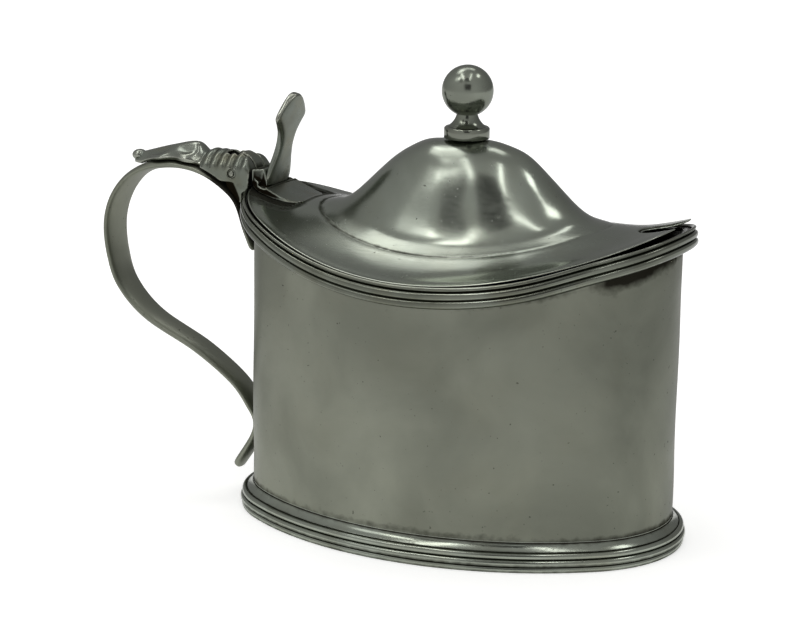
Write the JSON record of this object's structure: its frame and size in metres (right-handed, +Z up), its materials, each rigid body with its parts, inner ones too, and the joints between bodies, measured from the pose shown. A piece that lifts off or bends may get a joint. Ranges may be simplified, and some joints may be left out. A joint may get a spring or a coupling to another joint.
{
  "type": "mustard pot",
  "caption": "Oval silver mustard pot with a reeded saddle rim and foot, a hinged domed lid with ball finial and spoon notch, a thumbpiece, a strap handle and a blue glass liner.",
  "frame": {"origin": "middle of the flat underside of the drum", "axes": "+X along the oval towards the spoon notch, the handle and hinge at -X, +Z up"},
  "size_m": [0.116, 0.058, 0.0837],
  "materials": {
    "silver_satin": "satin, lightly tarnished silver",
    "silver_moulding": "worn silver with dark tarnish in the grooves",
    "silver_polished": "polished silver with soft scratches",
    "silver_cast": "cast silver, darker in its hollows",
    "cobalt_glass": "clear cobalt blue glass"
  },
  "bodies": {
    "pot": {"drum": "silver_satin", "base_plate": "silver_satin", "foot_moulding": "silver_moulding", "rim_moulding": "silver_moulding", "glass_liner": "cobalt_glass", "handle_strap": "silver_satin", "handle_leaf": "silver_cast", "hinge_saddle": "silver_cast", "hinge_pin": "silver_cast"},
    "lid": {"lid": "silver_polished", "hinge_tongue": "silver_cast", "thumbpiece": "silver_cast", "finial_collar": "silver_polished", "finial_ball": "silver_polished", "finial_peg": "silver_cast"}
  },
  "joints": [
    {"name": "lid_hinge", "type": "hinge", "parent": "pot", "child": "lid", "pos_m": [-0.045, 0, 0.06082], "axis": [0, -1, 0], "range_deg": [0, 105]}
  ]
}
